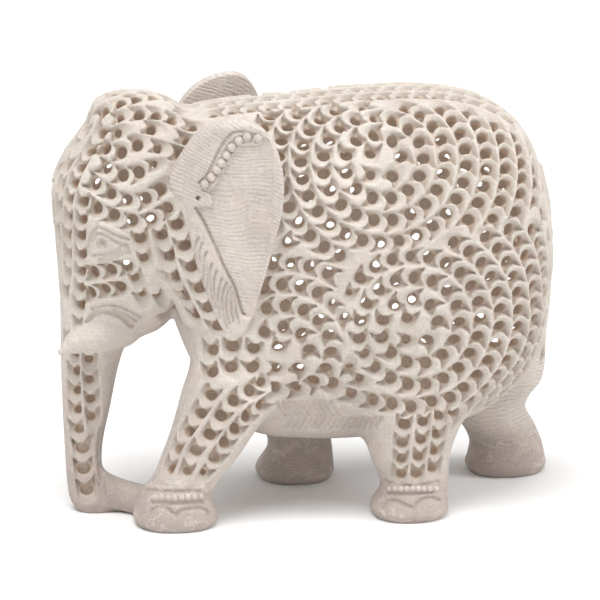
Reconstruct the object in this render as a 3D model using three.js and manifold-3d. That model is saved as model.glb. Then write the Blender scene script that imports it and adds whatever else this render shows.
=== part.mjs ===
// A soapstone elephant in the openwork style of Agra: one block, carved outside as a walking
// elephant, hollowed to a shell and pierced all over with leaf-shaped holes that follow scrolls.
// Millimetres, +Z up. The trunk points to -X, the flank with the forward feet faces -Y, and the
// soles stand on Z = 0 with the origin below the middle of the figure.
import * as THREE from 'three';
import { mergeVertices } from 'three/addons/utils/BufferGeometryUtils.js';
import Module from 'manifold-3d';

const wasm = await Module();
wasm.setup();

// Driving dimensions. The figure is drawn on a carver's grid of 130 squares from sole to crown.
const height = 130;
const square = height / 130;
const wall = 4.5;
const bandSpacing = 11.6;
const holeSpacing = 11;
const holeWidth = 3.8;
const holeLength = 7.4;
const holeReach = 2.5;
const legHoleDepth = 5;
const trunkDepth = 20;
const earThickness = 5;
const earFold = 1.2;

// Each form is a run of sections across one axis, in squares of the grid. A row holds the place
// along that axis, then the low and high edge of the section on each of the two other axes.
// The body runs along X: x, then y from and to, then z from and to.
const body = {
  axis: 'x',
  power: 2.5,
  rows: [
    [-44, -17, 17, 68, 116],
    [-36, -26, 26, 46, 123],
    [-28, -29.5, 29.5, 32, 125],
    [-18, -31, 31, 23, 126],
    [0, -33, 33, 20, 127],
    [15, -33.5, 33.5, 19.8, 128],
    [38, -33.5, 33.5, 21.5, 127.6],
    [52, -32, 32, 26, 124.6],
    [62, -28.5, 28.5, 33, 119],
    [69, -23, 23, 41, 110],
    [73, -15, 15, 53, 97],
    [75.4, -4, 4, 68, 81],
  ],
};

// The head and trunk run down Z: z, then x from and to, then y from and to.
const head = {
  axis: 'z',
  power: 2.2,
  rows: [
    [0, -71, -60, -10, 1],
    [3, -73, -60.5, -10.5, 2.5],
    [6, -73.6, -61, -9.5, 3],
    [12, -74, -63, -8.5, 4],
    [20, -74.4, -62.9, -8, 5],
    [31, -74.8, -60.5, -8, 7],
    [45, -75.2, -57.5, -9, 9],
    [52, -75.2, -54.6, -11, 11],
    [54.5, -75.2, -50, -12.5, 12.5],
    [57, -75.2, -44, -14, 14],
    [64, -75.3, -38, -17.5, 17.5],
    [72, -75.8, -34, -20.5, 20.5],
    [82, -76.5, -32, -22.5, 22.5],
    [92, -77.5, -30, -23.5, 23.5],
    [100, -77.8, -29, -23.5, 23.5],
    [108, -75.5, -29, -22.5, 22.5],
    [116, -70, -31, -20, 20],
    [120, -67.4, -33.5, -17.5, 17.5],
    [124, -66, -37, -14.5, 14.5],
    [128, -63.5, -43, -9.5, 9.5],
    [130.3, -57, -50, -4, 4],
  ],
};

// The legs run up Z from flat soles, walking: the two on the -Y side step forward.
const legs = {
  foreNear: [
    [0, -54.8, -32, -34.8, -12],
    [2, -56.2, -30.8, -36, -11],
    [5, -55.8, -31, -36, -11],
    [10, -54, -32.4, -34.4, -12],
    [13.5, -50.6, -30.4, -33.4, -13],
    [21, -47.2, -22.6, -32.6, -12],
    [28, -44.4, -17, -32.8, -10],
    [40, -40.5, -8, -32, -6],
    [47, -38.2, -3, -31, -5],
    [60, -36.8, 2, -29, -4],
  ],
  foreFar: [
    [0, -10.8, 10.6, 11.2, 34],
    [2, -12, 11.8, 10, 35],
    [4, -11.4, 11.8, 10, 35],
    [9, -8.4, 11.4, 12, 33],
    [14, -9, 11, 12, 32.6],
    [24, -13, 13, 10, 32.6],
    [40, -24, 14, 6, 31.5],
    [60, -32, 10, 4, 29],
  ],
  hindNear: [
    [0, 18, 38.8, -34.8, -12],
    [2, 16.6, 40.2, -36, -11],
    [4, 17, 40.2, -35.6, -11],
    [7.5, 19.4, 40, -34, -12],
    [11, 19.6, 40.4, -33, -12.4],
    [18, 16.8, 41, -32.8, -11],
    [24, 15.2, 43, -33, -9],
    [31, 13, 46.8, -33, -7],
    [39, 12, 54.6, -32.5, -5],
    [48, 12, 62.3, -32, -4],
    [62, 14, 71, -28.5, -4],
  ],
  hindFar: [
    [0, 54, 76.2, 9.7, 32],
    [2, 52.8, 77.4, 8.5, 33],
    [4, 53.4, 77.2, 8.5, 33],
    [9, 54.2, 76.2, 10, 32.4],
    [14, 52, 74.2, 10, 32],
    [20, 47.6, 71.2, 10, 32],
    [24, 46, 72.6, 10, 32],
    [29, 44, 76, 8, 32],
    [40, 40, 77, 5, 31],
    [56, 36, 76, 4, 28.5],
    [70, 34, 73, 4, 26],
  ],
};
const legPower = 2.3;

// The curled tip of the trunk runs back along X and grows into the near forefoot.
const trunkTip = {
  axis: 'x',
  power: 2.2,
  rows: [
    [-70, -10, 2, 0, 12.5],
    [-63, -11.5, 1, 0, 12],
    [-58, -13, -2.5, 0, 10],
    [-52, -20, -8, 0, 9.5],
    [-46, -26, -14, 0, 9.5],
  ],
};

// The tail lies down the middle of the rump, carved from the same stone.
const tail = {
  axis: 'z',
  power: 2,
  rows: [
    [40, 63, 69.5, -7.5, -2.5],
    [46, 66, 72.6, -7.5, -2],
    [52, 68.5, 74, -6, -1.8],
    [62, 71, 75.8, -5, -1],
    [76, 72.5, 76.8, -3.8, 0.2],
    [90, 71.5, 76, -2.4, 1.8],
    [102, 67, 73, -1.6, 2],
  ],
};

// An ear is a shield in the XZ plane: its outline from the fold's corner, over the top and down.
// The flap folded over its upper front edge is a second, smaller outline.
const earOutline = [
  [-45, 107], [-40.5, 117], [-35.5, 123.5], [-28, 126.8], [-20, 126.6], [-14.8, 121.5],
  [-12, 112], [-12.2, 101], [-14.8, 89], [-18.4, 75.5], [-22.8, 63], [-26.4, 72],
  [-31, 85], [-36.2, 97],
];
const flapOutline = [
  [-44.6, 107], [-40.2, 116.7], [-35.3, 123.1], [-28, 126.4], [-20.5, 126.2], [-17.8, 123],
  [-27, 117.5], [-34.5, 109.5], [-37.5, 100],
];
const earFront = { x: -45, y: 24.5 };
const earBack = { x: -12, y: 36.5 };
const farEarShift = { x: 3.7, z: -0.4 };

// A tusk lies along the trunk's side, from its root to its blunt tip. The far one is shorter.
const tusk = { root: [-55, 10.5, 56], tip: [-77.4, 12, 52], rootRadius: 4.8, tipRadius: 2 };
const farTuskLength = 0.8;

// Scrolls of the openwork on one side: the centre on the flank in x and z, its turn and its size.
const scrolls = [
  { x: 19, z: 108, turn: 1, reach: 40 },
  { x: 29, z: 63, turn: 1, reach: 44 },
  { x: -10.5, z: 54, turn: 1, reach: 24 },
  { x: 62, z: 96, turn: -1, reach: 34 },
  { x: 66, z: 60, turn: -1, reach: 26 },
  { x: -56, z: 110, turn: 1, reach: 34 },
  { x: -50, z: 76, turn: -1, reach: 26 },
];
const eye = { x: -64, z: 87, radius: 9 };
const bellyTop = 38;
const spineRow = 5;

const mixRows = (rows, s) => {
  const last = rows.length - 1;
  const at = Math.min(Math.max(s, rows[0][0]), rows[last][0]);
  let i = 0;
  while (i < last - 1 && rows[i + 1][0] < at) i += 1;
  const [a, b] = [rows[i], rows[i + 1]];
  const span = b[0] - a[0];
  const t = (at - a[0]) / span;
  const before = rows[Math.max(i - 1, 0)];
  const after = rows[Math.min(i + 2, last)];
  return a.slice(1).map((from, k) => {
    const to = b[k + 1];
    const slopeIn = ((to - before[k + 1]) / (b[0] - before[0])) * span;
    const slopeOut = ((after[k + 1] - from) / (after[0] - a[0])) * span;
    const t2 = t * t;
    const t3 = t2 * t;
    return (
      from * (2 * t3 - 3 * t2 + 1) + slopeIn * (t3 - 2 * t2 + t) +
      to * (3 * t2 - 2 * t3) + slopeOut * (t3 - t2)
    );
  });
};

// A section at one place along a form: its centre and half-sizes across, drawn in by an inset.
const sectionOf = (form, s, inset = 0) => {
  const [u0, u1, v0, v1] = mixRows(form.rows, s);
  return {
    u: (u0 + u1) / 2,
    v: (v0 + v1) / 2,
    ru: Math.max((u1 - u0) / 2 - inset, 0.6),
    rv: Math.max((v1 - v0) / 2 - inset, 0.6),
  };
};

// How far a point lies outside a form, roughly in squares, from the section at its own height.
const outside = (form, p) => {
  const [s, u, v] = form.axis === 'x' ? [p.x, p.y, p.z] : [p.z, p.x, p.y];
  const c = sectionOf(form, s);
  const q =
    (Math.abs((u - c.u) / c.ru) ** form.power + Math.abs((v - c.v) / c.rv) ** form.power) **
    (1 / form.power);
  const first = form.rows[0][0];
  const last = form.rows[form.rows.length - 1][0];
  const beyond = Math.max(first - s, s - last, 0);
  return (q - 1) * Math.min(c.ru, c.rv) + beyond;
};

const solidOf = (geometry) => {
  geometry.deleteAttribute('normal');
  geometry.deleteAttribute('uv');
  const merged = mergeVertices(geometry, 1e-4);
  const mesh = new wasm.Mesh({
    numProp: 3,
    vertProperties: new Float32Array(merged.attributes.position.array),
    triVerts: new Uint32Array(merged.index.array),
  });
  return new wasm.Manifold(mesh);
};

// Where a form's rings go: at its rows, with more between rows that are over a gap apart.
const ringPlaces = (form, gap, inset) => {
  const first = form.rows[0][0] + inset;
  const last = form.rows[form.rows.length - 1][0] - inset;
  const stops = [first];
  for (const [s] of form.rows) {
    const room = inset > 0 ? gap / 2 : 0.5;
    if (s - stops[stops.length - 1] > room && last - s > room) stops.push(s);
  }
  stops.push(last);
  return stops.flatMap((s, i) => {
    if (i === 0) return [s];
    const from = stops[i - 1];
    const count = Math.ceil((s - from) / gap);
    return Array.from({ length: count }, (_, k) => from + ((s - from) * (k + 1)) / count);
  });
};

// A closed loft through a form's sections, with flat ends, drawn in by an inset.
const loft = (form, gap, around, inset = 0) => {
  const places = ringPlaces(form, gap, inset);
  const rings = places.length - 1;
  const positions = [];
  const point = (s, u, v) => (form.axis === 'x' ? [s, u, v] : [u, v, s]);
  const bulge = (k) => Math.sign(k) * Math.abs(k) ** (2 / form.power);
  for (const s of places) {
    const c = sectionOf(form, s, inset);
    for (let j = 0; j < around; j += 1) {
      const angle = (2 * Math.PI * j) / around;
      positions.push(
        ...point(s, c.u + c.ru * bulge(Math.cos(angle)), c.v + c.rv * bulge(Math.sin(angle))),
      );
    }
  }
  const index = [];
  for (let i = 0; i < rings; i += 1) {
    for (let j = 0; j < around; j += 1) {
      const a = i * around + j;
      const b = i * around + ((j + 1) % around);
      index.push(a, b, a + around, b, b + around, a + around);
    }
  }
  for (let j = 1; j < around - 1; j += 1) {
    index.push(0, j + 1, j);
    const top = rings * around;
    index.push(top, top + j, top + j + 1);
  }
  const geometry = new THREE.BufferGeometry();
  geometry.setAttribute('position', new THREE.Float32BufferAttribute(positions, 3));
  geometry.setIndex(index);
  geometry.scale(square, square, square);
  return solidOf(geometry);
};

const asLeg = (rows) => ({ axis: 'z', power: legPower, rows });
const legForms = Object.fromEntries(Object.entries(legs).map(([k, rows]) => [k, asLeg(rows)]));
const skinForms = [body, head, ...Object.values(legForms)];
const skin = (p) => Math.min(...skinForms.map((form) => outside(form, p)));

const slopeStep = 0.4;
const slopeAt = (p) => {
  const shifted = (dx, dy, dz) => new THREE.Vector3(p.x + dx, p.y + dy, p.z + dz);
  const h = slopeStep;
  return new THREE.Vector3(
    skin(shifted(h, 0, 0)) - skin(shifted(-h, 0, 0)),
    skin(shifted(0, h, 0)) - skin(shifted(0, -h, 0)),
    skin(shifted(0, 0, h)) - skin(shifted(0, 0, -h)),
  ).divideScalar(2 * h);
};

// Brings a point onto the skin along the steepest way, and returns the skin's normal there.
const settle = (p) => {
  for (let i = 0; i < 4; i += 1) {
    const slope = slopeAt(p);
    p.addScaledVector(slope, -skin(p) / Math.max(slope.lengthSq(), 0.05));
  }
  return slopeAt(p).normalize();
};

// Walks over the skin from a start, as a taut tape would lie, and returns the end and its heading.
const walk = (start, heading, distance) => {
  const p = start.clone();
  const along = heading.clone();
  const steps = Math.max(1, Math.ceil(distance / 3));
  let normal = settle(p);
  for (let i = 0; i < steps; i += 1) {
    along.addScaledVector(normal, -along.dot(normal)).normalize();
    p.addScaledVector(along, distance / steps);
    normal = settle(p);
  }
  along.addScaledVector(normal, -along.dot(normal)).normalize();
  return { p, along, normal };
};

const insideOutline = (x, z, outline, grow) => {
  const cx = outline.reduce((sum, q) => sum + q[0], 0) / outline.length;
  const cz = outline.reduce((sum, q) => sum + q[1], 0) / outline.length;
  const size = Math.hypot(x - cx, z - cz);
  const px = x - ((x - cx) / size) * grow;
  const pz = z - ((z - cz) / size) * grow;
  let inside = false;
  outline.forEach(([x1, z1], i) => {
    const [x2, z2] = outline[(i + 1) % outline.length];
    if (z1 > pz !== z2 > pz && px < ((x2 - x1) * (pz - z1)) / (z2 - z1) + x1) inside = !inside;
  });
  return inside;
};

// The stone stays plain under the ears, around the eyes, at the mouth and along the belly.
const pierced = (p) => {
  const plainBelly = p.z < bellyTop && p.x > -32;
  const underEar = Math.abs(p.y) > 12 && insideOutline(p.x, p.z, earOutline, 3.5);
  const atEye = Math.hypot(p.x - eye.x, p.z - eye.z) < eye.radius;
  const atMouth = p.z < 64 && p.x < -36;
  const atTail = Math.abs(p.y) < 5 && p.x > 68;
  return !(plainBelly || underEar || atEye || atMouth || atTail);
};

// A cell is one pierced leaf: its place on the skin, the way its tip points, and the normal.
const cells = [];
const clearance = Math.min(bandSpacing, holeSpacing) * 0.9;
const place = (p, tip, normal, depth = wall) => {
  const crowded = cells.some((c) => c.p.distanceTo(p) < clearance && c.normal.dot(normal) > 0);
  if (!crowded) cells.push({ p, tip, normal, depth });
};

const spineRows = () => {
  for (const y of [-spineRow, spineRow]) {
    for (let x = -34; x < 66; x += holeSpacing / square) {
      const p = new THREE.Vector3(x, y, 140);
      p.z = 100 + 32;
      const normal = settle(p);
      place(p, new THREE.Vector3(1, 0, 0), normal);
    }
  }
};

const spiralOn = (side, scroll) => {
  const centre = new THREE.Vector3(scroll.x, side * 30, scroll.z);
  const normal = settle(centre);
  const up = new THREE.Vector3(0, 0, 1).addScaledVector(normal, -normal.z).normalize();
  const forth = new THREE.Vector3().crossVectors(up, normal).multiplyScalar(side);
  let angle = Math.PI;
  for (;;) {
    const radius = (bandSpacing * angle) / (2 * Math.PI);
    if (radius > scroll.reach) break;
    const heading = forth.clone().multiplyScalar(Math.cos(angle)).addScaledVector(up, Math.sin(angle));
    const end = walk(centre, heading, radius);
    const tip = new THREE.Vector3().crossVectors(end.normal, end.along);
    tip.multiplyScalar(scroll.turn * -side);
    const nearest = scrolls.every(
      (other) =>
        other === scroll ||
        Math.hypot(end.p.x - other.x, end.p.z - other.z) - other.reach * 0.5 >
          Math.hypot(end.p.x - scroll.x, end.p.z - scroll.z) - scroll.reach * 0.5 - 4,
    );
    if (nearest && pierced(end.p) && end.p.y * side > 2) place(end.p, tip, end.normal);
    angle += holeSpacing / Math.max(radius, holeSpacing / 2);
  }
};

// Rows of leaves down the outside of a leg, pointing to the foot.
const rowsDown = (form, side, from, to, turns, depth = legHoleDepth) => {
  for (let z = from; z > to; z -= holeSpacing / square) {
    const c = sectionOf(form, z);
    for (const turn of turns) {
      const p = new THREE.Vector3(c.u + c.ru * Math.sin(turn), c.v + side * c.rv * Math.cos(turn), z);
      const normal = settle(p);
      if (normal.y * side > 0.3) place(p, new THREE.Vector3(0, 0, -1), normal, depth);
    }
  }
};

spineRows();
for (const side of [-1, 1]) for (const scroll of scrolls) spiralOn(side, scroll);
rowsDown(legForms.foreNear, -1, 46, 15, [-0.7, 0, 0.7]);
rowsDown(legForms.foreFar, 1, 46, 15, [-0.7, 0, 0.7]);
rowsDown(legForms.hindNear, -1, 34, 12, [-0.5, 0.5]);
rowsDown(legForms.hindFar, 1, 34, 12, [-0.5, 0.5]);
rowsDown(head, -1, 48, 18, [0], trunkDepth);

// The cutter for a leaf: a three-cornered prism, blunt at the tip and pointed behind.
const leafShape = new THREE.Shape([
  new THREE.Vector2(-holeLength * 0.6, 0),
  new THREE.Vector2(holeLength * 0.4, -holeWidth / 2),
  new THREE.Vector2(holeLength * 0.4, holeWidth / 2),
]);
const cutterFor = ({ p, tip, normal, depth }) => {
  const length = depth + holeReach * 2;
  const geometry = new THREE.ExtrudeGeometry(leafShape, { depth: length, bevelEnabled: false });
  geometry.translate(0, 0, -length + holeReach);
  const along = tip.clone().addScaledVector(normal, -tip.dot(normal)).normalize();
  const across = new THREE.Vector3().crossVectors(normal, along);
  const turned = new THREE.Matrix4().makeBasis(along, across, normal);
  turned.setPosition(p.clone().multiplyScalar(square));
  return solidOf(geometry.applyMatrix4(turned));
};

// The ear's plate leans out towards the back, so its hind edge stands proud of the shoulder.
const leaningPlate = (outline, thickness, proud) => {
  const shape = new THREE.Shape(outline.map(([x, z]) => new THREE.Vector2(x * square, z * square)));
  const geometry = new THREE.ExtrudeGeometry(shape, { depth: thickness, bevelEnabled: false });
  geometry.rotateX(Math.PI / 2);
  const lean = (earBack.y - earFront.y) / (earBack.x - earFront.x);
  const position = geometry.attributes.position;
  for (let i = 0; i < position.count; i += 1) {
    const face = (earFront.y + lean * (position.getX(i) / square - earFront.x)) * square;
    position.setY(i, face + proud + position.getY(i));
  }
  return solidOf(geometry);
};
const ear = leaningPlate(earOutline, earThickness, 0).add(
  leaningPlate(flapOutline, earThickness, earFold),
);
const nearEar = ear.mirror([0, 1, 0]);
const farEar = ear.translate([farEarShift.x * square, 0, farEarShift.z * square]);

const tuskOn = (side, share) => {
  const root = new THREE.Vector3(tusk.root[0], side * tusk.root[1], tusk.root[2]);
  const tip = new THREE.Vector3(tusk.tip[0], side * tusk.tip[1], tusk.tip[2]);
  tip.lerpVectors(root, tip, share);
  const length = root.distanceTo(tip);
  const geometry = new THREE.CylinderGeometry(tusk.tipRadius, tusk.rootRadius, length, 10);
  geometry.applyQuaternion(
    new THREE.Quaternion().setFromUnitVectors(
      new THREE.Vector3(0, 1, 0),
      tip.clone().sub(root).normalize(),
    ),
  );
  const middle = root.clone().add(tip).multiplyScalar(0.5);
  geometry.translate(middle.x, middle.y, middle.z);
  geometry.scale(square, square, square);
  return solidOf(geometry);
};

const outer = wasm.Manifold.union([
  loft(body, 10, 18),
  loft(head, 9, 12),
  loft(tail, 14, 6),
  loft(trunkTip, 9, 8),
  ...Object.values(legForms).map((form) => loft(form, 14, 11)),
  nearEar,
  farEar,
  tuskOn(-1, 1),
  tuskOn(1, farTuskLength),
]);
const headCavity = { ...head, rows: head.rows.filter((row) => row[0] > 60) };
const hollow = wasm.Manifold.union([
  loft(body, 14, 12, wall / square),
  loft(headCavity, 12, 9, wall / square),
]);
const pierce = wasm.Manifold.union(cells.map(cutterFor));
const carved = outer.subtract(hollow).subtract(pierce);

const built = carved.getMesh();
const geometry = new THREE.BufferGeometry();
geometry.setAttribute('position', new THREE.Float32BufferAttribute(built.vertProperties, 3));
geometry.setIndex([...built.triVerts]);
geometry.computeBoundingBox();
const middle = geometry.boundingBox.getCenter(new THREE.Vector3());
geometry.translate(-middle.x, -middle.y, -geometry.boundingBox.min.z);

const stone = new THREE.MeshStandardMaterial({ color: 0xd9cfc2, roughness: 0.75, metalness: 0 });
const elephant = new THREE.Mesh(geometry, stone);
elephant.name = 'elephant';

const figure = new THREE.Group();
figure.add(elephant);

export default figure;
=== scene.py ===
# %% [markdown]
# # An openwork soapstone elephant
# A walking elephant is carved from one block of pale soapstone. The carver shapes the figure,
# drills it all over, hollows it through the holes, and then slopes the stone behind each hole
# into a leaf. The same steps are followed here on a field: a grid of numbers that are negative
# inside the stone and positive outside. A field can be cut, drilled and joined with plain
# minimum and maximum, which stays safe with many hundred cuts where booleans on meshes don't.

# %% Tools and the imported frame
import math

import bpy
import numpy as np
import openvdb
from mathutils import Matrix, Vector


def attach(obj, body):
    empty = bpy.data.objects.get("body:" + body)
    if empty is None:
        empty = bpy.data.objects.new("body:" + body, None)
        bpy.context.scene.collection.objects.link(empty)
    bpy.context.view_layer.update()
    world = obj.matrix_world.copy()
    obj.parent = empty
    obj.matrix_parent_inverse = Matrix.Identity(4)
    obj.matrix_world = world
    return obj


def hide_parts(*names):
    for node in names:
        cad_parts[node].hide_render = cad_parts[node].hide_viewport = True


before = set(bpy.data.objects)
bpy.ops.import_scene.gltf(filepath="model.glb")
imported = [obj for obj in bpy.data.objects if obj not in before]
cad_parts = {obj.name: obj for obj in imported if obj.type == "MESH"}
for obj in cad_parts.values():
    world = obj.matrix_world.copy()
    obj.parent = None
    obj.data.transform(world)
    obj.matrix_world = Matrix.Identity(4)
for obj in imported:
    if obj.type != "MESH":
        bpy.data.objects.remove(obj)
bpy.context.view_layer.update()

# %% [markdown]
# ## Camera
# The photographer stood a little towards the head and looked slightly down. The figure shows
# no perspective, so a long lens from 5 m fits: any pixel can then be turned into a ray with one
# scale of pixels per millimetre. Many places below are pixels of the photo, put on the stone
# with those rays.

# %% Camera
MM = 0.001
turn, lift = math.radians(8.4), math.radians(15.7)
pixels, pixels_per_mm = 600, 3.27
cam_right = np.array([math.cos(turn), -math.sin(turn), 0.0])
cam_back = np.array([-math.sin(turn) * math.cos(lift), -math.cos(turn) * math.cos(lift),
                     math.sin(lift)])
cam_up = np.cross(cam_back, cam_right)
ground_pixel = (305.5, 495.3)
cam_distance = 5000.0
cam_target = (cam_right * (300 - ground_pixel[0]) / pixels_per_mm
              + cam_up * (ground_pixel[1] - 300) / pixels_per_mm)

scene = bpy.context.scene
camera = bpy.data.objects.new("camera", bpy.data.cameras.new("camera"))
scene.collection.objects.link(camera)
scene.camera = camera
camera.data.sensor_width = 36
camera.data.lens = 36 * cam_distance / (pixels / pixels_per_mm)
camera.data.clip_end = 20
place = (cam_target + cam_back * cam_distance) * MM
camera.matrix_world = Matrix([
    [*[cam_right[i], cam_up[i], cam_back[i]], place[i]] for i in range(3)
] + [[0, 0, 0, 1]])
scene.render.resolution_x = scene.render.resolution_y = pixels
print("camera at", place.round(3), "lens", camera.data.lens)

# %% [markdown]
# ## The smooth figure
# Under the carving the figure is soft and rounded: a barrel of a body, a head that runs down
# into the trunk, and four thick legs. It could be sculpted by hand or built from a subdivided
# cage. Here each form is a run of sections, because a section's edges can be read straight off
# the photo, and because the distance to it is one formula.

# %% Sections of the figure
# Each form has its axis, the power of its rounded outline, and its sections in millimetres: the
# place along the axis, then the low and high edge on each of the two other axes.
BODY = ("x", 2.5, [
    [-44, -17, 17, 68, 116], [-36, -26, 26, 46, 123], [-28, -29.5, 29.5, 32, 125],
    [-18, -31, 31, 23, 126], [0, -33, 33, 20, 127], [15, -33.5, 33.5, 19.8, 128],
    [38, -33.5, 33.5, 21.5, 127.6], [52, -32, 32, 26, 124.6], [62, -28.5, 28.5, 33, 119],
    [69, -23, 23, 41, 110], [73, -15, 15, 53, 97], [75.4, -4, 4, 68, 81]])
HEAD = ("z", 2.2, [
    [0, -71, -60, -10, 1], [3, -73, -60.5, -10.5, 2.5], [6, -73.6, -61, -9.5, 3],
    [12, -74, -63, -8.5, 4],
    [20, -74.4, -62.9, -8, 5], [31, -74.8, -60.5, -8, 7], [45, -75.2, -57.5, -9, 9],
    [52, -75.2, -54.6, -11, 11], [54.5, -75.2, -50, -12.5, 12.5], [57, -75.2, -44, -14, 14],
    [64, -75.3, -38, -17.5, 17.5],
    [72, -75.8, -34, -20.5, 20.5], [82, -76.5, -32, -22.5, 22.5], [92, -77.5, -30, -23.5, 23.5],
    [100, -77.8, -29, -23.5, 23.5], [108, -75.5, -29, -22.5, 22.5], [116, -70, -31, -20, 20],
    [120, -67.4, -33.5, -17.5, 17.5], [124, -66, -37, -14.5, 14.5], [128, -63.5, -43, -9.5, 9.5],
    [130.3, -57, -50, -4, 4]])
FORE_NEAR = ("z", 2.3, [
    [0, -54.8, -32, -34.8, -12], [2, -56.2, -30.8, -36, -11], [5, -55.8, -31, -36, -11],
    [10, -54, -32.4, -34.4, -12],
    [13.5, -50.6, -30.4, -33.4, -13], [21, -47.2, -24, -32.6, -12], [28, -44.4, -19, -32.8, -10],
    [40, -40.5, -10, -32, -6], [47, -38.2, -3, -31, -5], [60, -36.8, 2, -29, -4]])
FORE_FAR = ("z", 2.3, [
    [0, -10.8, 10.6, 11.2, 34], [2, -12, 11.8, 10, 35], [4, -11.4, 11.8, 10, 35],
    [9, -8.4, 11.4, 12, 33],
    [14, -9, 11, 12, 32.6], [24, -13, 13, 10, 32.6], [40, -24, 14, 6, 31.5], [60, -32, 10, 4, 29]])
HIND_NEAR = ("z", 2.3, [
    [0, 18, 38.8, -34.8, -12], [2, 16.6, 40.2, -36, -11], [4, 17, 40.2, -35.6, -11],
    [7.5, 19.4, 40, -34, -12],
    [11, 19.6, 40.4, -33, -12.4], [18, 16.8, 41, -32.8, -11], [24, 15.2, 43, -33, -9],
    [31, 13, 46.8, -33, -7], [39, 12, 54.6, -32.5, -5], [48, 12, 62.3, -32, -4],
    [62, 14, 71, -28.5, -4]])
HIND_FAR = ("z", 2.3, [
    [0, 54, 76.2, 9.7, 32], [2, 52.8, 77.4, 8.5, 33], [4, 53.4, 77.2, 8.5, 33],
    [9, 54.2, 76.2, 10, 32.4],
    [14, 52, 74.2, 10, 32], [20, 47.6, 71.2, 10, 32], [24, 46, 72.6, 10, 32],
    [29, 44, 76, 8, 32], [40, 40, 77, 5, 31], [56, 36, 76, 4, 28.5], [70, 34, 73, 4, 26]])
TRUNK_TIP = ("x", 2.2, [
    [-63, -11.5, 1, 0, 12], [-58, -13, -2.5, 0, 10],
    [-52, -20, -8, 0, 9.5], [-46, -26, -14, 0, 9.5]])
TAIL = ("z", 2.0, [
    [40, 63, 69.5, -7.5, -2.5], [46, 66, 72.6, -7.5, -2], [52, 68.5, 74, -6, -1.8],
    [62, 71, 75.2, -5, -1], [76, 72, 75.8, -3.8, 0.2], [90, 71.5, 75.4, -2.4, 1.8],
    [102, 67, 73, -1.6, 2]])
FORMS = [BODY, HEAD, FORE_NEAR, FORE_FAR, HIND_NEAR, HIND_FAR]
print("sections:", sum(len(form[2]) for form in FORMS))


# %% From sections to a field
def edges_at(form, s):
    """The section edges at places s: a smooth curve through the rows, whose slope at a row is
    that of the line through its two neighbours."""
    rows = np.array(form[2], float)
    knots, values = rows[:, 0], rows[:, 1:]
    s = np.clip(s, knots[0], knots[-1])
    i = np.clip(np.searchsorted(knots, s, side="left") - 1, 0, len(knots) - 2)
    before, after = np.maximum(i - 1, 0), np.minimum(i + 2, len(knots) - 1)
    step = knots[i + 1] - knots[i]
    t = ((s - knots[i]) / step)[..., None]

    def slope_over(i, j):
        """The slope from row i to row j, for one step between rows."""
        return (values[j] - values[i]) / (knots[j] - knots[i])[..., None] * step[..., None]

    slope_in, slope_out = slope_over(before, i + 1), slope_over(i, after)
    return (values[i] * (2 * t**3 - 3 * t**2 + 1) + slope_in * (t**3 - 2 * t**2 + t)
            + values[i + 1] * (3 * t**2 - 2 * t**3) + slope_out * (t**3 - t**2))


def outside(form, x, y, z):
    """How far a point lies outside a form, in mm: the size of its section scaled up until it
    meets the point, less one, times the smaller half-width. The form's two ends are flat."""
    s, u, v = (x, y, z) if form[0] == "x" else (z, x, y)
    e = edges_at(form, np.asarray(s, float))
    ru, rv = (e[..., 1] - e[..., 0]) / 2, (e[..., 3] - e[..., 2]) / 2
    cu, cv = (e[..., 1] + e[..., 0]) / 2, (e[..., 3] + e[..., 2]) / 2
    power = form[1]
    q = (np.abs((u - cu) / ru) ** power + np.abs((v - cv) / rv) ** power) ** (1 / power)
    past_ends = np.maximum(form[2][0][0] - s, s - form[2][-1][0])
    return np.maximum((q - 1) * np.minimum(ru, rv), past_ends)


def blend(a, b, width):
    """The lower of two fields, with a fillet of about the given width where they meet: less a
    quarter of the width times the square of how near they are to each other."""
    near = np.maximum(width - np.abs(a - b), 0) / width
    return np.minimum(a, b) - near * near * width / 4


# %% [markdown]
# The ears are flat plates that stand away from the neck and lean outwards to the back. In front
# of each the neck swells up to meet it, so that ear and cheek are one surface. The swell is a
# field of its own, joined to the rest with a small fillet.

# %% The ear's face and the swell in front of it
EAR_FRONT, EAR_STAND = -45, 24.5
EAR_LEAN = (36.5 - EAR_STAND) / (45 - 12)
FAR_EAR_SHIFT = (3.7, -0.4)


def ear_face(x):
    """How far the ear's outer face stands from the middle plane at x."""
    return EAR_STAND + EAR_LEAN * (x - EAR_FRONT)


def cheek(x, y, z):
    """The swell in front of each ear: just under the ear's leaning face at its front edge,
    falling away ahead of it with the square of the distance, and sinking under the ear."""
    x = np.where(y > 0, x - FAR_EAR_SHIFT[0], x)
    front = np.interp(z, [60, 62, 67, 74.5, 83.2, 92.6, 99.5, 107],
                      [-26, -29.5, -32, -34.8, -37.5, -39.6, -41, -45])
    fall = 0.045 + 0.05 * np.clip((82 - z) / 14, 0, 1)
    face = ear_face(np.maximum(x, front)) - 0.35 - fall * np.maximum(front - x, 0) ** 2
    sink = 0.6 * np.maximum(x - front - 1, 0)
    sink = sink + 0.1 * np.maximum(z - 101, 0) ** 2 + 0.3 * np.maximum(61 - z, 0) ** 2
    return np.maximum(np.abs(y) - face + sink, 18 - np.abs(y))


FILLET, CHEEK_FILLET = 4.0, 2.5


def skin(p):
    """The smooth skin's field at points p, before any carving."""
    x, y, z = p[..., 0], p[..., 1], p[..., 2]
    f = outside(BODY, x, y, z)
    for form in FORMS[1:]:
        f = blend(f, outside(form, x, y, z), FILLET)
    return blend(f, cheek(x, y, z), CHEEK_FILLET)


# %% [markdown]
# Leaves and grooves need points that lie on the skin, and the way that the skin faces there.
# The field gives both: its gradient points straight out, and a step of the field's value
# against the gradient lands close to the surface.

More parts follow.
